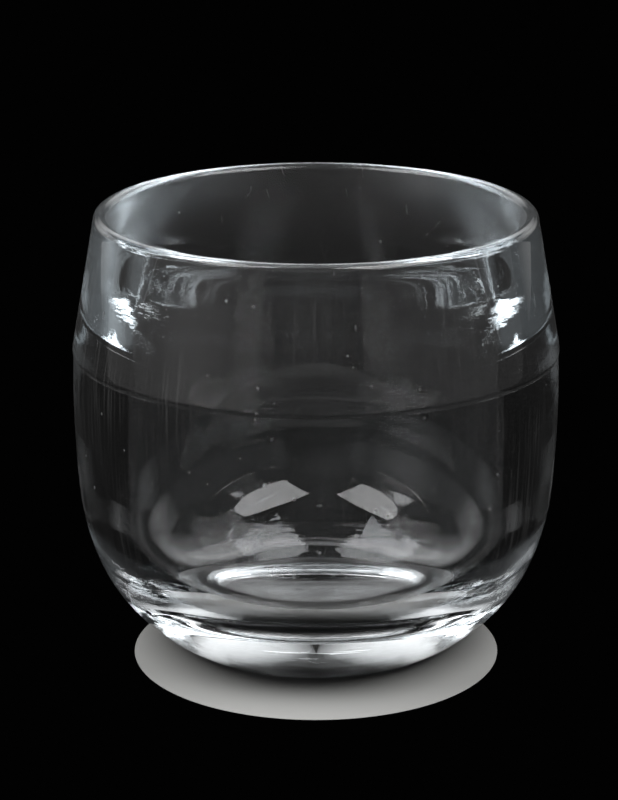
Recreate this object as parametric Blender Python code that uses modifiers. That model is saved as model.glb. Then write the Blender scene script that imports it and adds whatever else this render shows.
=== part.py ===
"""Stemless cocktail glass: a low, bellied tumbler of clear glass with thick walls and a heavy base.

It stands at the origin on its foot, with +Z up its axis. Its outside is a leaning collar over
a crease, and a belly drawn as a chain of arcs, each tangent to the next, that ends at the bevel round
the foot. The foot is a flat ring round a shallow kick. The hollow inside has a shape of its own, so
the wall thickens from the lip to the base. The glass is turned in three sections: collar, belly wall
and base.
"""

import math

import bpy

MM = 0.001

# Driving dimensions: millimetres and degrees. A lean is measured from the upright.

SHOULDER_DIAMETER = 90.0  # over the crease
COLLAR_HEIGHT = 23.8  # from the crease to the middle of the lip's round
COLLAR_LEAN = 10.0  # inwards, going up
LIP_WALL = 2.8  # thickness of the wall under the lip, which is rounded over

LEDGE_HEIGHT = 1.0  # soft undercut right below the crease
LEDGE_DEPTH = 0.15  # how far that undercut sets in the top of the belly
BELLY_DROP = 8.0  # from the crease down to the belly's widest circle
CROWN_RADIUS = 160.0  # arc of the belly above its widest circle
WALL_RADIUS = 215.0  # arc of the belly below its widest circle
WALL_LEAN = 5.0  # where the wall arc ends
HEEL_RADIUS = 46.0  # arc that turns the wall in
HEEL_LEAN = 20.0  # where the heel arc ends
BASE_RADIUS = 33.0  # arc under the heel
BASE_LEAN = 62.0  # where the base arc ends, at the bevel round the foot
BEVEL_WIDTH = 2.0  # polished bevel round the foot, measured along the radius
BEVEL_SLOPE = 16.5  # of that bevel, from the level
STANDING_WIDTH = 2.0  # flat ring inside the bevel, on which the glass stands
KICK_RISE = 2.0  # of the shallow kick inside that ring, at its middle

FLARE_DEPTH = 14.7  # from the middle of the lip's round down to where the hollow runs straight
COLLAR_WALL = 7.2  # thickness of the collar at that depth
BORE_DRAFT = 2.0  # taper of the straight part of the hollow, narrower going down
WELL_RADIUS = 16.0  # round between the hollow's side and its floor
FLOOR_THICKNESS = 12.0  # of the solid base, from the standing ring up to the floor of the hollow

SEAM_GAP = 0.3  # keeps neighbouring sections apart
WELL_MARGIN = 1.0  # least height of straight side that the base has above its well

# Fineness of the turned shapes

TURN_STEPS = 64
LIP_SEGMENTS = 10
FLARE_SEGMENTS = 6
LEDGE_SEGMENTS = 4
CROWN_SEGMENTS = 3
WALL_SEGMENTS = 5
HEEL_SEGMENTS = 4
BASE_SEGMENTS = 8
KICK_SEGMENTS = 8
WELL_SEGMENTS = 9

MERGE_DISTANCE = 0.01  # points nearer to the axis than this become one
SHARP_ANGLE = 12.0  # edges that turn by more than this stay crisp

GLASS_COLOUR = (0.96, 0.97, 0.98, 1.0)
GLASS_ROUGHNESS = 0.02
GLASS_IOR = 1.5


def tangent(degrees):
    return math.tan(math.radians(degrees))


def tangent_arc(start, radius, first_lean, last_lean, segments):
    """Points (r, z) down an arc that bulges outwards from start, without start itself."""
    first, last = math.radians(first_lean), math.radians(last_lean)
    centre_r = start[0] - radius * math.cos(first)
    centre_z = start[1] + radius * math.sin(first)
    points = []
    for step in range(1, segments + 1):
        lean = first + (last - first) * step / segments
        points.append((centre_r + radius * math.cos(lean), centre_z - radius * math.sin(lean)))
    return points


def ledge(under, crease):
    """Quarter round from the crease in to the top of the belly, without its last point."""
    points = []
    for step in range(LEDGE_SEGMENTS):
        turn = math.pi / 2 * step / LEDGE_SEGMENTS
        r = under[0] + (crease[0] - under[0]) * math.cos(turn)
        z = crease[1] - (crease[1] - under[1]) * math.sin(turn)
        points.append((r, z))
    return points


def outside_outline():
    """The outer side from the lip down to the foot's flat, and the heights of its crease and heel."""
    crease = (SHOULDER_DIAMETER / 2, BELLY_DROP)
    crown_lean = math.asin((BELLY_DROP - LEDGE_HEIGHT) / CROWN_RADIUS)
    swell = CROWN_RADIUS * (1 - math.cos(crown_lean))
    widest = (crease[0] - LEDGE_DEPTH + swell, 0.0)
    crown = tangent_arc(widest, CROWN_RADIUS, 0.0, -math.degrees(crown_lean), CROWN_SEGMENTS)
    lip = (crease[0] - COLLAR_HEIGHT * tangent(COLLAR_LEAN), crease[1] + COLLAR_HEIGHT)
    wall = tangent_arc(widest, WALL_RADIUS, 0.0, WALL_LEAN, WALL_SEGMENTS)
    heel = tangent_arc(wall[-1], HEEL_RADIUS, WALL_LEAN, HEEL_LEAN, HEEL_SEGMENTS)
    base = tangent_arc(heel[-1], BASE_RADIUS, HEEL_LEAN, BASE_LEAN, BASE_SEGMENTS)
    foot = (base[-1][0] - BEVEL_WIDTH, base[-1][1] - BEVEL_WIDTH * tangent(BEVEL_SLOPE))
    outline = [lip] + ledge(crown[-1], crease) + crown[::-1] + [widest] + wall + heel + base + [foot]
    outline = [(r, z - foot[1]) for r, z in outline]
    return outline, crease[1] - foot[1], wall[-1][1] - foot[1]


OUTSIDE, CREASE_Z, HEEL_Z = outside_outline()
LIP_OUTER_R, LIP_Z = OUTSIDE[0]
FLARE_Z = LIP_Z - FLARE_DEPTH
WELL_Z = FLOOR_THICKNESS + WELL_RADIUS
BASE_TOP_Z = max(HEEL_Z, WELL_Z + WELL_MARGIN)


def bore_radius(z):
    """Radius of the straight, tapered part of the hollow at a height."""
    collar_r = LIP_OUTER_R + FLARE_DEPTH * tangent(COLLAR_LEAN)
    return collar_r - COLLAR_WALL + (z - FLARE_Z) * tangent(BORE_DRAFT)


def inside_outline():
    """The hollow's side, from the edge of its flat floor up to the lip."""
    draft = math.radians(BORE_DRAFT)
    touch_z = WELL_Z - WELL_RADIUS * math.sin(draft)
    centre_r = bore_radius(touch_z) - WELL_RADIUS * math.cos(draft)
    points = []
    for step in range(WELL_SEGMENTS + 1):
        turn = (math.pi / 2 - draft) * step / WELL_SEGMENTS
        points.append((centre_r + WELL_RADIUS * math.sin(turn), WELL_Z - WELL_RADIUS * math.cos(turn)))
    flare = LIP_OUTER_R - LIP_WALL - bore_radius(LIP_Z)
    for step in range(FLARE_SEGMENTS + 1):
        share = step / FLARE_SEGMENTS
        z = FLARE_Z + FLARE_DEPTH * share
        points.append((bore_radius(z) + flare * share**2, z))
    return points


def lip_round():
    """Half circle over the top of the wall, from its inner side to its outer side, without the ends."""
    middle = LIP_OUTER_R - LIP_WALL / 2
    points = []
    for step in range(1, LIP_SEGMENTS):
        turn = math.pi * (1 - step / LIP_SEGMENTS)
        points.append((middle + LIP_WALL / 2 * math.cos(turn), LIP_Z + LIP_WALL / 2 * math.sin(turn)))
    return points


def stretch(outline, low, high):
    """The part of an outline between two heights, with new end points where it crosses them."""
    kept = []
    for (r, z), (next_r, next_z) in zip(outline, outline[1:]):
        if low <= z <= high:
            kept.append((r, z))
        crossed = [cut for cut in (low, high) if min(z, next_z) < cut < max(z, next_z)]
        for cut in sorted(crossed, reverse=next_z < z):
            kept.append((r + (next_r - r) * (cut - z) / (next_z - z), cut))
    if low <= outline[-1][1] <= high:
        kept.append(outline[-1])
    return kept


def collar_profile():
    """Closed outline: down the outside, across the seam, up the hollow and over the lip."""
    low = CREASE_Z + SEAM_GAP / 2
    return stretch(OUTSIDE, low, LIP_Z) + stretch(inside_outline(), low, LIP_Z) + lip_round()


def belly_wall_profile():
    """Closed outline: down the outside from under the crease, across the seam and up the hollow."""
    low = BASE_TOP_Z + SEAM_GAP / 2
    high = CREASE_Z - SEAM_GAP / 2
    return stretch(OUTSIDE, low, high) + stretch(inside_outline(), low, high)


def kick():
    """Shallow dome under the foot, from the inner edge of the standing ring to the axis."""
    edge = OUTSIDE[-1][0] - STANDING_WIDTH
    points = []
    for step in range(KICK_SEGMENTS + 1):
        share = 1 - step / KICK_SEGMENTS
        points.append((edge * share, KICK_RISE * (1 - share**2)))
    return points


def base_profile():
    """Outline from the middle of the hollow's floor, up, across the seam, down to the foot and under it."""
    high = BASE_TOP_Z - SEAM_GAP / 2
    inside = [(0.0, FLOOR_THICKNESS)] + stretch(inside_outline(), FLOOR_THICKNESS, high)
    return inside + stretch(OUTSIDE, 0.0, high) + kick()


def clear_glass(name):
    """Water-clear glass for one section."""
    material = bpy.data.materials.new(name)
    material.use_nodes = True
    shader = material.node_tree.nodes["Principled BSDF"]
    shader.inputs["Base Color"].default_value = GLASS_COLOUR
    shader.inputs["Metallic"].default_value = 0.0
    shader.inputs["Roughness"].default_value = GLASS_ROUGHNESS
    shader.inputs["IOR"].default_value = GLASS_IOR
    shader.inputs["Transmission Weight"].default_value = 1.0
    return material


def turned(name, profile, closed, collection):
    """One section of the glass: its profile in the XZ plane, turned once about the Z axis."""
    mesh = bpy.data.meshes.new(name)
    last = len(profile) - 1
    edges = [(point, point + 1) for point in range(last)]
    if closed:
        edges.append((last, 0))
    mesh.from_pydata([(r * MM, 0.0, z * MM) for r, z in profile], edges, [])
    section = bpy.data.objects.new(name, mesh)
    collection.objects.link(section)
    screw = section.modifiers.new("turn", "SCREW")
    screw.axis = "Z"
    screw.steps = TURN_STEPS
    screw.render_steps = TURN_STEPS
    screw.use_merge_vertices = True
    screw.merge_threshold = MERGE_DISTANCE * MM
    bpy.context.view_layer.objects.active = section
    bpy.ops.object.modifier_apply(modifier=screw.name)
    section.data.shade_smooth()
    section.data.set_sharp_from_angle(angle=math.radians(SHARP_ANGLE))
    section.data.materials.append(clear_glass(name + "_glass"))
    return section


def main():
    for leftover in list(bpy.data.objects):
        bpy.data.objects.remove(leftover)
    parts = bpy.data.collections.new("cocktail_glass")
    bpy.context.scene.collection.children.link(parts)
    turned("collar", collar_profile(), True, parts)
    turned("belly_wall", belly_wall_profile(), True, parts)
    turned("base", base_profile(), False, parts)


main()
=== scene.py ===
"""Stemless cocktail glass of thick clear glass, standing in a small studio.

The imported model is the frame. One seamless vessel stands for its three turned sections, because the
joins between them would show through the clear glass.
"""

import math

import bpy
from bpy.props import FloatProperty, FloatVectorProperty, IntProperty, PointerProperty
from bpy.types import Operator, Panel, PropertyGroup
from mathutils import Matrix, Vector


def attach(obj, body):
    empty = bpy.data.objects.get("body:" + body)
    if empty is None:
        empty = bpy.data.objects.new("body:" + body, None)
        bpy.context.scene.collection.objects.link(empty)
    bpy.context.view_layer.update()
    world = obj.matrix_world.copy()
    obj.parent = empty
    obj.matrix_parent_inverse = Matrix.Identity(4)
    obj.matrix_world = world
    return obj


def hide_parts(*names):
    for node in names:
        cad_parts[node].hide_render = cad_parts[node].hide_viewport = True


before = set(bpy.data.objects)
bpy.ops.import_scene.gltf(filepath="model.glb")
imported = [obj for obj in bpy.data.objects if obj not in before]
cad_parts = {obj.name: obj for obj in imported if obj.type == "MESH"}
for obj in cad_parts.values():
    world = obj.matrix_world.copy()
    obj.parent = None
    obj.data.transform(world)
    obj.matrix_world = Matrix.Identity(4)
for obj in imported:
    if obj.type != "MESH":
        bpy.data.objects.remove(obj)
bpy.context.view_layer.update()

bl_info = {
    "name": "Cocktail glass",
    "version": (1, 0, 0),
    "blender": (4, 5, 0),
    "location": "3D View > Sidebar > Cocktail glass",
    "description": "Turns a stemless cocktail glass and sets it up in a studio",
    "category": "Object",
}

SECTIONS = ("collar", "belly_wall", "base")

# Fineness of the vessel: lengths in metres.

POINT_STEP = 0.0010  # spacing of the points along the outline
LEDGE_STEPS = 6
LIP_STEPS = 16
CREASE_ROUND = 0.00025
FOOT_ROUND = 0.00035
ROUND_SEGMENTS = 4  # of a rounded crisp edge
MERGE_DISTANCE = 0.000002
RING_TOLERANCE = 0.00001  # for finding a crisp edge that runs round the axis
SHARP_ANGLE = 12.0  # degrees; edges that turn by more than this stay crisp

# Surface of the glass: heights and depths in metres, and finenesses in cells or waves per metre.

GLASS_IOR = 1.5
DUST_IOR = 2.0
DUST_ROUGHNESS = 0.85
RELIEF_DEPTH = 0.00001
FOOT_ZONE = 0.0007  # faces this near to the standing level belong to the foot
FOOT_NORMAL = -0.95  # faces that look down more steeply than this belong to it too
FLOOR_NORMAL = 0.5  # least upward part of the normal of the hollow's floor
COLLAR_START = (-0.0003, 0.0001)  # measured from the crease, like the next two
UNDERCUT_START = (-0.0012, -0.0009)
UNDERCUT_END = (-0.0006, -0.0003)
HAZE_NEAR = -0.014  # the film inside starts here, going back from the camera
HAZE_FAR = 0.008  # and is full from here
HAZE_GRAIN = (1400.0, 0.7, 0.6)  # fineness, least value and swing
SPECK_CELLS = 260.0
SPECK_SIZE = 0.08  # of the largest specks, as a share of a cell
STREAK_FINENESS = 85.0  # round the side
STREAK_DRIFT = 0.6  # how fast the streaks change going down
STREAK_TOP = (0.070, 0.077)  # the relief of the streaks fades out between these heights
STREAK_RELIEF = 0.25
WIPED_DUST = 0.9  # dust left along a streak
WIPED_RANGE = (0.50, 0.72)  # of the streaks, from bare to full
CLOUD_FINENESS = 45.0
CLOUD_RANGE = (0.35, 0.65)
SCRATCH_FINENESS = (260.0, 260.0, 90.0)
SCRATCH_WIDTH = (0.001, 0.004)
SCRATCH_ROUGHNESS = 0.35
SCRATCH_BREAKS = 190.0
SCRATCH_RANGE = (0.60, 0.66)
SPECK_ROUGHNESS = 0.8
SCUFF_FINENESS = 420.0
SCUFF_RANGE = (0.46, 0.68)
SCUFF_ROUGHNESS = 0.45
LONG_WAVES = 110.0
FINE_WAVES = 120.0
FINE_WAVE_SHARE = 0.35
WAVE_TOP = (0.007, 0.013)  # the waves of the base fade out between these heights
WAVE_RELIEF = 4.0
FILM_ON_BELLY = 0.55
FILM_ON_COLLAR = 0.35  # more than on the belly
FILM_IN_UNDERCUT = 1.2  # more than on the belly
FILM_GRAIN = (2600.0, 0.1, 1.8)  # fineness, least value and swing

# Studio: lengths in metres, angles in degrees.

FLOOR_SIDES = 160
FLOOR_DROP = 0.00005  # keeps the floor clear of the foot
FLOOR_ROUGHNESS = 0.8
FLOOR_SPECULAR = 0.1
AIM_HEIGHT = 0.027  # at which the lamps are aimed
FULL_SPREAD = 180.0
SURROUND = 0.0006  # brightness of the dark surround
SENSOR_HEIGHT = 24.0  # millimetres
FOCAL_LENGTH = 92.61  # millimetres
SIDE_SHIFT = -7.0 / 800.0  # as a share of the frame's height
CLIP_START = 0.01
MOST_BOUNCES = 32
GLASS_BOUNCES = 24

# Softboxes: name, azimuth, elevation, distance, width and height.

SOFTBOXES = (
    ("left_softbox", -68.0, 50.5, 0.70, 0.53, 0.47),
    ("right_softbox", 54.0, 51.5, 0.70, 0.53, 0.47),
)

# Fainter panels: the same, with a brightness and a spread of their own.

PANELS = (
    ("left_rear_panel", -160.0, 31.0, 0.90, 0.60, 0.66, 2.4, 40.0),
    ("right_rear_panel", 160.0, 31.0, 0.90, 0.60, 0.66, 2.4, 40.0),
    ("left_side_panel", -138.0, 10.0, 0.90, 0.72, 0.46, 1.5, 46.0),
    ("right_side_panel", 138.0, 10.0, 0.90, 0.72, 0.46, 1.5, 46.0),
    ("left_rear_top", -168.0, 44.0, 0.90, 0.24, 0.34, 2.0, 60.0),
    ("right_rear_top", 168.0, 44.0, 0.90, 0.24, 0.34, 2.0, 60.0),
    ("rear_strip", 180.0, 32.0, 0.90, 0.45, 0.30, 0.95, 50.0),
    ("rear_top", 180.0, 62.0, 0.90, 0.90, 0.50, 0.12, FULL_SPREAD),
    ("left_wall", -72.0, 12.0, 0.95, 2.0, 0.60, 0.2, FULL_SPREAD),
    ("left_fill", -62.0, 12.0, 0.90, 0.76, 0.76, 0.5, 46.0),
    ("front_fill", -8.0, 22.0, 0.90, 0.70, 0.50, 0.2, 46.0),
    ("right_wall", 68.0, 12.0, 0.95, 2.0, 0.60, 0.11, FULL_SPREAD),
)


def length(name, description, default):
    return FloatProperty(name=name, description=description, default=default, min=0.0, precision=5,
                         unit="LENGTH")


def angle(name, description, degrees):
    return FloatProperty(name=name, description=description, default=math.radians(degrees), subtype="ANGLE")


def strength(name, description, default):
    return FloatProperty(name=name, description=description, default=default, min=0.0, max=1.0)


class VesselShape(PropertyGroup):
    """Sizes of the turned glass; a lean is measured from the upright."""

    shoulder_diameter: length("Shoulder diameter", "Over the crease", 0.0900)
    collar_height: length("Collar height", "From the crease to the middle of the lip's round", 0.0238)
    collar_lean: angle("Collar lean", "Inwards, going up", 10.0)
    lip_wall: length("Lip wall", "Thickness of the wall under the rounded lip", 0.0028)
    ledge_height: length("Ledge height", "Soft undercut right below the crease", 0.0010)
    ledge_depth: length("Ledge depth", "How far that undercut sets in the top of the belly", 0.00015)
    belly_drop: length("Belly drop", "From the crease down to the belly's widest circle", 0.0080)
    crown_radius: length("Crown radius", "Arc of the belly above its widest circle", 0.160)
    wall_radius: length("Wall radius", "Arc of the belly below its widest circle", 0.215)
    wall_lean: angle("Wall lean", "Where the wall's arc ends", 5.0)
    heel_radius: length("Heel radius", "Arc that turns the wall in", 0.046)
    heel_lean: angle("Heel lean", "Where the heel's arc ends", 20.0)
    base_radius: length("Base radius", "Arc under the heel", 0.033)
    base_lean: angle("Base lean", "Where the base's arc ends, at the foot's bevel", 62.0)
    bevel_width: length("Bevel width", "Polished bevel round the foot, along the radius", 0.0020)
    bevel_slope: angle("Bevel slope", "Of the foot's bevel, from the level", 16.5)
    standing_width: length("Standing width", "Flat ring on which the glass stands", 0.0020)
    kick_rise: length("Kick rise", "Of the shallow kick inside that ring, at its middle", 0.0020)
    flare_depth: length("Flare depth", "From the lip down to where the hollow runs straight", 0.0147)
    collar_wall: length("Collar wall", "Thickness of the collar at the flare's depth", 0.0072)
    bore_draft: angle("Bore draft", "Taper of the hollow, narrower going down", 2.0)
    well_radius: length("Well radius", "Round between the hollow's side and its floor", 0.016)
    floor_thickness: length("Floor thickness", "Solid glass under the hollow", 0.012)
    sides: IntProperty(name="Sides", description="Steps round the axis", default=224, min=32)


class GlassFinish(PropertyGroup):
    """Colour and surface of the glass."""

    colour: FloatVectorProperty(name="Colour", description="Tint of the clear glass", subtype="COLOR",
                                default=(0.965, 0.972, 0.98), min=0.0, max=1.0)
    body_colour: FloatVectorProperty(name="Body colour", description="Tint of long ways through the glass",
                                     subtype="COLOR", default=(0.66, 0.72, 0.75), min=0.0, max=1.0)
    body_density: FloatProperty(name="Body density", description="How soon that tint shows", default=8.0)
    haze: strength("Haze", "Roughness of the dry film inside, under the lip", 0.16)
    haze_foot: length("Haze foot", "Height at which that film starts", 0.060)
    haze_top: length("Haze top", "Height from which that film is full", 0.074)
    film: strength("Film", "Strength of the even film of dust", 0.32)
    dust: strength("Dust", "How much of the surface carries specks", 0.35)
    streaks: strength("Streaks", "Strength of the fine upright wiping marks", 0.5)
    hairlines: strength("Hairlines", "Strength of the fine scratches", 0.5)
    scuffs: strength("Scuffs", "Wear of the foot, where the glass stands", 0.6)
    waves: strength("Waves", "Strength of the soft waves in the base", 0.9)


class StudioSetup(PropertyGroup):
    """Camera, lamps and floor."""

    camera_distance: length("Camera distance", "Level distance from the glass's axis", 0.550)
    camera_height: length("Camera height", "Above the floor", 0.2146)
    camera_pitch: angle("Camera pitch", "Downwards from the level", 17.07)
    floor_colour: FloatVectorProperty(name="Floor colour", description="Plain pale table top",
                                      subtype="COLOR", default=(0.36, 0.36, 0.352), min=0.0, max=1.0)
    floor_width: length("Floor width", "Of the oval table top", 0.068)
    floor_front: length("Floor front", "From the glass's axis to the front edge of the table top", 0.044)
    floor_behind: length("Floor behind", "From the glass's axis to the back edge of the table top", 0.026)
    softbox_brightness: FloatProperty(name="Softbox brightness", description="Radiance of the softboxes",
                                      default=6.1)


def arc_down(start, radius, first_lean, last_lean):
    """Points (r, z) down an arc that bulges outwards from start, without start itself."""
    steps = max(3, round(abs(last_lean - first_lean) * radius / POINT_STEP))
    centre_r = start[0] - radius * math.cos(first_lean)
    centre_z = start[1] + radius * math.sin(first_lean)
    points = []
    for step in range(1, steps + 1):
        lean = first_lean + (last_lean - first_lean) * step / steps
        points.append((centre_r + radius * math.cos(lean), centre_z - radius * math.sin(lean)))
    return points


def line_to(start, end):
    """Points from start to end, without start itself."""
    steps = max(1, round(math.dist(start, end) / POINT_STEP))
    points = []
    for step in range(1, steps + 1):
        share = step / steps
        points.append((start[0] + (end[0] - start[0]) * share, start[1] + (end[1] - start[1]) * share))
    return points


def outer_outline(shape):
    """Outer side from the lip down to the flat foot at height 0, and the crease's point."""
    crease = (shape.shoulder_diameter / 2, shape.belly_drop)
    crown_lean = math.asin((shape.belly_drop - shape.ledge_height) / shape.crown_radius)
    swell = shape.crown_radius * (1 - math.cos(crown_lean))
    widest = (crease[0] - shape.ledge_depth + swell, 0.0)
    crown = arc_down(widest, shape.crown_radius, 0.0, -crown_lean)
    lip = (crease[0] - shape.collar_height * math.tan(shape.collar_lean), crease[1] + shape.collar_height)
    under = crown[-1]
    ledge = []
    for step in range(1, LEDGE_STEPS):
        turn = math.pi / 2 * step / LEDGE_STEPS
        ledge.append((under[0] + (crease[0] - under[0]) * math.cos(turn),
                      crease[1] - (crease[1] - under[1]) * math.sin(turn)))
    wall = arc_down(widest, shape.wall_radius, 0.0, shape.wall_lean)
    heel = arc_down(wall[-1], shape.heel_radius, shape.wall_lean, shape.heel_lean)
    base = arc_down(heel[-1], shape.base_radius, shape.heel_lean, shape.base_lean)
    foot = (base[-1][0] - shape.bevel_width, base[-1][1] - shape.bevel_width * math.tan(shape.bevel_slope))
    outline = [lip] + line_to(lip, crease) + ledge + crown[::-1] + [widest] + wall + heel + base
    outline += line_to(base[-1], foot)
    return [(r, z - foot[1]) for r, z in outline], (crease[0], crease[1] - foot[1])


def inner_outline(shape, lip):
    """Side of the hollow, from the lip down to the edge of its flat floor."""
    flare_z = lip[1] - shape.flare_depth
    side_r = lip[0] + shape.flare_depth * math.tan(shape.collar_lean) - shape.collar_wall
    draft = shape.bore_draft

    def bore(z):
        return side_r + (z - flare_z) * math.tan(draft)

    flare = lip[0] - shape.lip_wall - bore(lip[1])
    points = []
    steps = round(shape.flare_depth / POINT_STEP)
    for step in range(steps, -1, -1):
        share = step / steps
        z = flare_z + shape.flare_depth * share
        points.append((bore(z) + flare * share**2, z))
    well_z = shape.floor_thickness + shape.well_radius
    touch_z = well_z - shape.well_radius * math.sin(draft)
    points += line_to(points[-1], (bore(touch_z), touch_z))
    centre_r = bore(touch_z) - shape.well_radius * math.cos(draft)
    sweep = math.pi / 2 - draft
    steps = round(sweep * shape.well_radius / POINT_STEP)
    for step in range(1, steps + 1):
        turn = sweep * (1 - step / steps)
        points.append((centre_r + shape.well_radius * math.sin(turn),
                       well_z - shape.well_radius * math.cos(turn)))
    return points


def lip_round(shape, lip):
    """Half circle over the top of the wall, from its outer side to its inner side, without the ends."""
    radius = shape.lip_wall / 2
    points = []
    for step in range(1, LIP_STEPS):
        turn = math.pi * step / LIP_STEPS
        points.append((lip[0] - radius + radius * math.cos(turn), lip[1] + radius * math.sin(turn)))
    return points


def kick_outline(shape, foot):
    """Shallow dome under the foot, from the axis out to the standing ring, without the foot's own point."""
    edge = foot[0] - shape.standing_width
    steps = round(edge / POINT_STEP)
    points = []
    for step in range(steps + 1):
        share = step / steps
        points.append((edge * share, shape.kick_rise * (1 - share**2)))
    return points + line_to(points[-1], foot)[:-1]


def vessel_outline(shape):
    """From the kick's middle over the lip to the hollow's floor, and the points of its crisp edges."""
    outside, crease = outer_outline(shape)
    lip, foot = outside[0], outside[-1]
    inside = inner_outline(shape, lip)
    outline = kick_outline(shape, foot) + outside[::-1] + lip_round(shape, lip) + inside
    return outline + [(0.0, shape.floor_thickness)], crease, foot


def select_ring(mesh, radius, height):
    """Select the edges that run round the axis at a radius and a height."""
    def on_ring(index):
        place = mesh.vertices[index].co
        aside = abs(math.hypot(place.x, place.y) - radius)
        return aside < RING_TOLERANCE and abs(place.z - height) < RING_TOLERANCE

    for vertex in mesh.vertices:
        vertex.select = False
    for face in mesh.polygons:
        face.select = False
    found = 0
    for edge in mesh.edges:
        edge.select = all(on_ring(index) for index in edge.vertices)
        found += edge.select
    if not found:
        raise RuntimeError(f"no ring of edges at radius {radius:.4f} and height {height:.4f}")


def round_ring(piece, radius, height, size):
    """Round a crisp edge that runs round the axis."""
    select_ring(piece.data, radius, height)
    bpy.ops.object.mode_set(mode="EDIT")
    bpy.ops.mesh.select_mode(type="EDGE")
    bpy.ops.mesh.bevel(offset=size, segments=ROUND_SEGMENTS, affect="EDGES")
    bpy.ops.mesh.select_mode(type="VERT")
    bpy.ops.object.mode_set(mode="OBJECT")


def turn_outline(name, outline, sides):
    """One closed piece: a point on the axis, extruded along the outline and spun once round."""
    bpy.ops.object.select_all(action="DESELECT")
    bpy.ops.mesh.primitive_plane_add(size=0.01, location=(0.0, 0.0, 0.0))
    piece = bpy.context.object
    piece.name = name
    piece.data.name = name
    bpy.ops.object.mode_set(mode="EDIT")
    bpy.ops.mesh.select_mode(type="VERT")
    bpy.ops.mesh.select_all(action="SELECT")
    bpy.ops.mesh.merge(type="CENTER")
    bpy.ops.transform.translate(value=(0.0, 0.0, outline[0][1]))
    for (r, z), (next_r, next_z) in zip(outline, outline[1:]):
        bpy.ops.mesh.extrude_vertices_move(TRANSFORM_OT_translate={"value": (next_r - r, 0.0, next_z - z)})
    bpy.ops.mesh.select_all(action="SELECT")
    bpy.ops.mesh.spin(steps=sides, angle=2 * math.pi, center=(0.0, 0.0, 0.0), axis=(0.0, 0.0, 1.0))
    bpy.ops.mesh.select_all(action="SELECT")
    bpy.ops.mesh.remove_doubles(threshold=MERGE_DISTANCE)
    bpy.ops.mesh.normals_make_consistent(inside=False)
    bpy.ops.object.mode_set(mode="OBJECT")
    return piece


def feed(tree, socket, value):
    """Link a socket to an output, or set it to a plain value."""
    if isinstance(value, bpy.types.NodeSocket):
        tree.links.new(value, socket)
    else:
        socket.default_value = value


def calculate(tree, operation, *values):
    node = tree.nodes.new("ShaderNodeMath")
    node.operation = operation
    for socket, value in zip(node.inputs, values):
        feed(tree, socket, value)
    return node.outputs[0]


def ramp(tree, value, low, high):
    """0 below low, 1 above high, with a soft step between."""
    node = tree.nodes.new("ShaderNodeMapRange")
    node.interpolation_type = "SMOOTHSTEP"
    feed(tree, node.inputs["Value"], value)
    feed(tree, node.inputs["From Min"], low)
    feed(tree, node.inputs["From Max"], high)
    return node.outputs[0]


def noise(tree, vector, scale, detail):
    node = tree.nodes.new("ShaderNodeTexNoise")
    feed(tree, node.inputs["Vector"], vector)
    node.inputs["Scale"].default_value = scale
    node.inputs["Detail"].default_value = detail
    return node.outputs[0]


def stretched(tree, vector, factors):
    node = tree.nodes.new("ShaderNodeVectorMath")
    node.operation = "MULTIPLY"
    feed(tree, node.inputs[0], vector)
    node.inputs[1].default_value = factors
    return node.outputs[0]


def grain(tree, place, fineness, least, swing):
    """Fine noise that starts at a least value."""
    level = noise(tree, place, fineness, 2.0)
    return calculate(tree, "ADD", least, calculate(tree, "MULTIPLY", level, swing))


def specks(tree, place, amount):
    """Grains of dust: small dots in a share of the cells of a fine pattern."""
    cells = tree.nodes.new("ShaderNodeTexVoronoi")
    feed(tree, cells.inputs["Vector"], place)
    cells.inputs["Scale"].default_value = SPECK_CELLS
    split = tree.nodes.new("ShaderNodeSeparateColor")
    feed(tree, split.inputs[0], cells.outputs["Color"])
    size = calculate(tree, "MULTIPLY", split.outputs["Green"], SPECK_SIZE)
    inside = calculate(tree, "LESS_THAN", cells.outputs["Distance"], size)
    return calculate(tree, "MULTIPLY", inside, calculate(tree, "LESS_THAN", split.outputs["Red"], amount))


def wiping_marks(tree, place, height):
    """Fine upright streaks that run down the side."""
    flat = stretched(tree, place, (1.0, 1.0, 0.0))
    around = tree.nodes.new("ShaderNodeVectorMath")
    around.operation = "NORMALIZE"
    feed(tree, around.inputs[0], flat)
    lift = tree.nodes.new("ShaderNodeCombineXYZ")
    feed(tree, lift.inputs["Z"], calculate(tree, "MULTIPLY", height, STREAK_DRIFT))
    mix = tree.nodes.new("ShaderNodeVectorMath")
    mix.operation = "ADD"
    feed(tree, mix.inputs[0], around.outputs[0])
    feed(tree, mix.inputs[1], lift.outputs[0])
    return noise(tree, mix.outputs[0], STREAK_FINENESS, 3.0)


def scratches(tree, place):
    """Hairlines: thin level lines of a long, slanting pattern, broken up into short ones."""
    slant = stretched(tree, place, SCRATCH_FINENESS)
    level = calculate(tree, "ABSOLUTE", calculate(tree, "SUBTRACT", noise(tree, slant, 1.0, 1.0), 0.5))
    line = calculate(tree, "SUBTRACT", 1.0, ramp(tree, level, *SCRATCH_WIDTH))
    broken = ramp(tree, noise(tree, place, SCRATCH_BREAKS, 1.0), *SCRATCH_RANGE)
    return calculate(tree, "MULTIPLY", line, broken)


def base_waves(tree, place, height):
    """Soft level waves, as pressing leaves them in a thick base; they fade out up the side."""
    long_waves = noise(tree, stretched(tree, place, (1.0, 1.0, 5.0)), LONG_WAVES, 1.0)
    fine_waves = noise(tree, stretched(tree, place, (1.0, 1.0, 14.0)), FINE_WAVES, 1.0)
    waves = calculate(tree, "ADD", long_waves, calculate(tree, "MULTIPLY", fine_waves, FINE_WAVE_SHARE))
    low = calculate(tree, "SUBTRACT", 1.0, ramp(tree, height, *WAVE_TOP))
    return calculate(tree, "MULTIPLY", waves, low)


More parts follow.
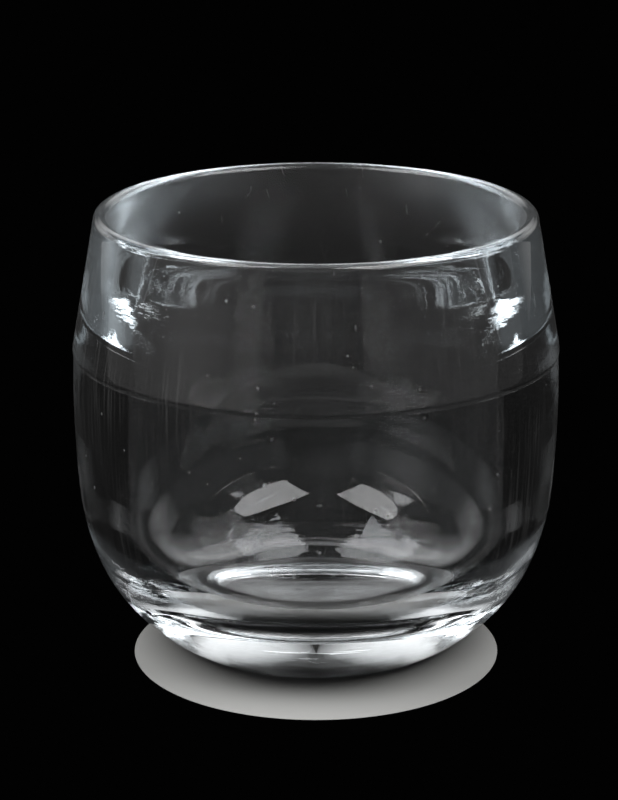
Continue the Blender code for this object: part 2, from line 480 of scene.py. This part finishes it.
def film_share(tree, place, height, crease):
    """Share of the dust film: grainy, heavier on the collar and heaviest in the undercut."""
    above = calculate(tree, "SUBTRACT", height, crease)
    collar = ramp(tree, above, *COLLAR_START)
    undercut = calculate(tree, "MULTIPLY", ramp(tree, above, *UNDERCUT_START),
                         calculate(tree, "SUBTRACT", 1.0, ramp(tree, above, *UNDERCUT_END)))
    amount = calculate(tree, "ADD", FILM_ON_BELLY, calculate(tree, "MULTIPLY", collar, FILM_ON_COLLAR))
    amount = calculate(tree, "ADD", amount, calculate(tree, "MULTIPLY", undercut, FILM_IN_UNDERCUT))
    return calculate(tree, "MULTIPLY", amount, grain(tree, place, *FILM_GRAIN))


def wear_group():
    """Wear of the glass: gives a roughness, a faint layer of dust and a relief."""
    tree = bpy.data.node_groups.new("glass_wear", "ShaderNodeTree")
    for name in ("Hollow", "Foot", "Crease", "Haze", "Haze Foot", "Haze Top", "Film", "Dust", "Streaks",
                 "Hairlines", "Scuffs", "Waves"):
        tree.interface.new_socket(name, in_out="INPUT", socket_type="NodeSocketFloat")
    for name in ("Roughness", "Dust Layer", "Height"):
        tree.interface.new_socket(name, in_out="OUTPUT", socket_type="NodeSocketFloat")
    given = tree.nodes.new("NodeGroupInput").outputs
    place = tree.nodes.new("ShaderNodeTexCoord").outputs["Object"]
    split = tree.nodes.new("ShaderNodeSeparateXYZ")
    tree.links.new(place, split.inputs[0])
    depth, height = split.outputs["Y"], split.outputs["Z"]
    side = calculate(tree, "SUBTRACT", 1.0, calculate(tree, "MAXIMUM", given["Hollow"], given["Foot"]))

    hazy = calculate(tree, "MULTIPLY", ramp(tree, height, given["Haze Foot"], given["Haze Top"]),
                     ramp(tree, depth, HAZE_NEAR, HAZE_FAR))
    hazy = calculate(tree, "MULTIPLY", hazy, given["Hollow"])
    haze = calculate(tree, "MULTIPLY", given["Haze"], hazy)
    haze = calculate(tree, "MULTIPLY", haze, grain(tree, place, *HAZE_GRAIN))

    dust = specks(tree, place, given["Dust"])
    marks = wiping_marks(tree, place, height)
    below_lip = calculate(tree, "SUBTRACT", 1.0, ramp(tree, height, *STREAK_TOP))
    streak = calculate(tree, "MULTIPLY", calculate(tree, "MULTIPLY", marks, given["Streaks"]), side)
    streak = calculate(tree, "MULTIPLY", streak, below_lip)
    cloud = ramp(tree, noise(tree, place, CLOUD_FINENESS, 2.0), *CLOUD_RANGE)
    wiped = calculate(tree, "MULTIPLY", ramp(tree, marks, *WIPED_RANGE), cloud)
    wiped = calculate(tree, "MULTIPLY", calculate(tree, "MULTIPLY", wiped, given["Streaks"]), side)
    hair = calculate(tree, "MULTIPLY", scratches(tree, place), given["Hairlines"])
    patch = ramp(tree, noise(tree, place, SCUFF_FINENESS, 4.0), *SCUFF_RANGE)
    scuff = calculate(tree, "MULTIPLY", patch, SCUFF_ROUGHNESS)
    scuff = calculate(tree, "MULTIPLY", scuff, given["Scuffs"])
    scuff = calculate(tree, "MULTIPLY", scuff, given["Foot"])

    rough = calculate(tree, "ADD", haze, scuff)
    rough = calculate(tree, "ADD", rough, calculate(tree, "MULTIPLY", hair, SCRATCH_ROUGHNESS))
    rough = calculate(tree, "MAXIMUM", rough, calculate(tree, "MULTIPLY", dust, SPECK_ROUGHNESS))
    even = calculate(tree, "MULTIPLY", given["Film"], film_share(tree, place, height, given["Crease"]))
    layer = calculate(tree, "ADD", even, calculate(tree, "MULTIPLY", wiped, WIPED_DUST))
    layer = calculate(tree, "MAXIMUM", layer, calculate(tree, "MAXIMUM", dust, hair))
    waves = calculate(tree, "MULTIPLY", base_waves(tree, place, height), given["Waves"])
    waves = calculate(tree, "MULTIPLY", waves, side)
    relief = calculate(tree, "ADD", calculate(tree, "MULTIPLY", streak, STREAK_RELIEF),
                       calculate(tree, "MULTIPLY", waves, WAVE_RELIEF))
    result = tree.nodes.new("NodeGroupOutput").inputs
    tree.links.new(rough, result["Roughness"])
    tree.links.new(layer, result["Dust Layer"])
    tree.links.new(relief, result["Height"])
    return tree


def mark_zones(piece, floor_height):
    """Attributes of the faces that tell the hollow and the foot from the rest of the outside."""
    hollow = piece.data.attributes.new("hollow", "FLOAT", "FACE")
    foot = piece.data.attributes.new("foot", "FLOAT", "FACE")
    for face in piece.data.polygons:
        outward = face.normal.x * face.center.x + face.normal.y * face.center.y
        on_floor = face.normal.z > FLOOR_NORMAL and face.center.z < floor_height + FOOT_ZONE
        on_foot = face.center.z < FOOT_ZONE or face.normal.z < FOOT_NORMAL
        foot.data[face.index].value = float(on_foot)
        hollow.data[face.index].value = float(not on_foot and (outward < 0.0 or on_floor))


def clear_glass(name, finish, crease_height):
    """Clear glass with a faint tint in its body, and the wear of each zone of the vessel."""
    material = bpy.data.materials.new(name)
    material.use_nodes = True
    tree = material.node_tree
    shader = tree.nodes["Principled BSDF"]
    shader.inputs["Base Color"].default_value = (*finish.colour, 1.0)
    shader.inputs["Metallic"].default_value = 0.0
    shader.inputs["IOR"].default_value = GLASS_IOR
    shader.inputs["Transmission Weight"].default_value = 1.0
    shader.inputs["Coat Roughness"].default_value = DUST_ROUGHNESS
    shader.inputs["Coat IOR"].default_value = DUST_IOR
    wear = tree.nodes.new("ShaderNodeGroup")
    wear.node_tree = wear_group()
    for socket, value in (
        ("Crease", crease_height),
        ("Haze", finish.haze),
        ("Haze Foot", finish.haze_foot),
        ("Haze Top", finish.haze_top),
        ("Film", finish.film),
        ("Dust", finish.dust),
        ("Streaks", finish.streaks),
        ("Hairlines", finish.hairlines),
        ("Scuffs", finish.scuffs),
        ("Waves", finish.waves),
    ):
        wear.inputs[socket].default_value = value
    for zone in ("Hollow", "Foot"):
        attribute = tree.nodes.new("ShaderNodeAttribute")
        attribute.attribute_name = zone.lower()
        tree.links.new(attribute.outputs["Fac"], wear.inputs[zone])
    body = tree.nodes.new("ShaderNodeVolumeAbsorption")
    body.inputs["Color"].default_value = (*finish.body_colour, 1.0)
    body.inputs["Density"].default_value = finish.body_density
    tree.links.new(body.outputs["Volume"], tree.nodes["Material Output"].inputs["Volume"])
    bump = tree.nodes.new("ShaderNodeBump")
    bump.inputs["Strength"].default_value = 1.0
    bump.inputs["Distance"].default_value = RELIEF_DEPTH
    tree.links.new(wear.outputs["Roughness"], shader.inputs["Roughness"])
    within = tree.nodes.new("ShaderNodeNewGeometry").outputs["Backfacing"]
    without = calculate(tree, "SUBTRACT", 1.0, within)
    on_top = calculate(tree, "MULTIPLY", wear.outputs["Dust Layer"], without)
    tree.links.new(on_top, shader.inputs["Coat Weight"])
    tree.links.new(wear.outputs["Height"], bump.inputs["Height"])
    tree.links.new(bump.outputs["Normal"], shader.inputs["Normal"])
    return material


class COCKTAILGLASS_OT_vessel(Operator):
    """Turn the whole glass as one seamless vessel, from the foot over the lip to the floor of the hollow"""

    bl_idname = "cocktail_glass.vessel"
    bl_label = "Turn the vessel"

    def execute(self, context):
        shape = context.scene.cocktail_vessel
        outline, crease, foot = vessel_outline(shape)
        vessel = turn_outline("vessel", outline, shape.sides)
        round_ring(vessel, crease[0], crease[1], CREASE_ROUND)
        round_ring(vessel, foot[0], 0.0, FOOT_ROUND)
        bpy.ops.object.shade_smooth_by_angle(angle=math.radians(SHARP_ANGLE))
        mark_zones(vessel, shape.floor_thickness)
        vessel.data.materials.append(clear_glass("clear_glass", context.scene.cocktail_finish, crease[1]))
        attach(vessel, "root")
        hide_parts(*SECTIONS)
        return {"FINISHED"}


def add_softbox(name, azimuth, elevation, distance, width, height, brightness, spread=FULL_SPREAD):
    """Soft lamp, aimed at the belly; azimuth 0 is towards the camera. A small spread fades its edges."""
    aim = Vector((0.0, 0.0, AIM_HEIGHT))
    turn = math.radians(azimuth)
    lift = math.radians(elevation)
    away = Vector((math.cos(lift) * math.sin(turn), -math.cos(lift) * math.cos(turn), math.sin(lift)))
    place = aim + away * distance
    bpy.ops.object.light_add(type="AREA", location=place, rotation=away.to_track_quat("Z", "Y").to_euler())
    lamp = bpy.context.object
    lamp.name = name
    lamp.visible_camera = False
    lamp.data.shape = "RECTANGLE"
    lamp.data.size = width
    lamp.data.size_y = height
    lamp.data.energy = brightness * math.pi * width * height
    if spread < FULL_SPREAD:
        half = math.radians(spread) / 2
        lamp.data.spread = 2 * half
        lamp.data.energy *= 1 - half / math.tan(half)


def plain_finish(name, colour):
    material = bpy.data.materials.new(name)
    material.use_nodes = True
    shader = material.node_tree.nodes["Principled BSDF"]
    shader.inputs["Base Color"].default_value = (*colour, 1.0)
    shader.inputs["Roughness"].default_value = FLOOR_ROUGHNESS
    shader.inputs["Specular IOR Level"].default_value = FLOOR_SPECULAR
    return material


class COCKTAILGLASS_OT_studio(Operator):
    """Set the pale floor, the softboxes, the dark surround and the camera"""

    bl_idname = "cocktail_glass.studio"
    bl_label = "Set up the studio"

    def execute(self, context):
        scene = context.scene
        setup = scene.cocktail_studio
        bpy.ops.object.select_all(action="DESELECT")
        stretch = (setup.floor_front + setup.floor_behind) / setup.floor_width
        middle = (setup.floor_behind - setup.floor_front) / 2
        bpy.ops.mesh.primitive_circle_add(vertices=FLOOR_SIDES, radius=setup.floor_width / 2,
                                          fill_type="NGON")
        bpy.ops.transform.resize(value=(1.0, stretch, 1.0))
        bpy.ops.transform.translate(value=(0.0, middle, -FLOOR_DROP))
        bpy.ops.object.transform_apply()
        table = context.object
        table.name = "floor"
        table.data.materials.append(plain_finish("pale_floor", setup.floor_colour))
        for softbox in SOFTBOXES:
            add_softbox(*softbox, setup.softbox_brightness)
        for panel in PANELS:
            add_softbox(*panel)
        world = bpy.data.worlds.new("dark_surround")
        world.use_nodes = True
        surround = world.node_tree.nodes["Background"].inputs["Color"]
        surround.default_value = (SURROUND, SURROUND, SURROUND, 1.0)
        scene.world = world
        bpy.ops.object.camera_add(location=(0.0, -setup.camera_distance, setup.camera_height),
                                  rotation=(math.pi / 2 - setup.camera_pitch, 0.0, 0.0))
        camera = context.object
        camera.name = "camera"
        camera.data.sensor_fit = "VERTICAL"
        camera.data.sensor_height = SENSOR_HEIGHT
        camera.data.lens = FOCAL_LENGTH
        camera.data.shift_x = SIDE_SHIFT
        camera.data.clip_start = CLIP_START
        scene.camera = camera
        scene.view_settings.view_transform = "Standard"
        scene.cycles.max_bounces = MOST_BOUNCES
        scene.cycles.caustics_refractive = False
        scene.cycles.caustics_reflective = False
        scene.cycles.glossy_bounces = GLASS_BOUNCES
        scene.cycles.transmission_bounces = GLASS_BOUNCES
        return {"FINISHED"}


class COCKTAILGLASS_PT_sidebar(Panel):
    """Sizes, finish and studio of the cocktail glass"""

    bl_label = "Cocktail glass"
    bl_space_type = "VIEW_3D"
    bl_region_type = "UI"
    bl_category = "Cocktail glass"

    def draw(self, context):
        scene = context.scene
        for title, settings, operator in (
            ("Vessel", scene.cocktail_vessel, COCKTAILGLASS_OT_vessel),
            ("Glass", scene.cocktail_finish, None),
            ("Studio", scene.cocktail_studio, COCKTAILGLASS_OT_studio),
        ):
            box = self.layout.box()
            box.label(text=title)
            for name in settings.__annotations__:
                box.prop(settings, name)
            if operator:
                box.operator(operator.bl_idname)


CLASSES = (
    VesselShape,
    GlassFinish,
    StudioSetup,
    COCKTAILGLASS_OT_vessel,
    COCKTAILGLASS_OT_studio,
    COCKTAILGLASS_PT_sidebar,
)


def register():
    for item in CLASSES:
        bpy.utils.register_class(item)
    bpy.types.Scene.cocktail_vessel = PointerProperty(type=VesselShape)
    bpy.types.Scene.cocktail_finish = PointerProperty(type=GlassFinish)
    bpy.types.Scene.cocktail_studio = PointerProperty(type=StudioSetup)


def unregister():
    del bpy.types.Scene.cocktail_studio
    del bpy.types.Scene.cocktail_finish
    del bpy.types.Scene.cocktail_vessel
    for item in reversed(CLASSES):
        bpy.utils.unregister_class(item)


def main():
    register()
    bpy.ops.cocktail_glass.vessel()
    bpy.ops.cocktail_glass.studio()


if __name__ == "__main__":
    main()
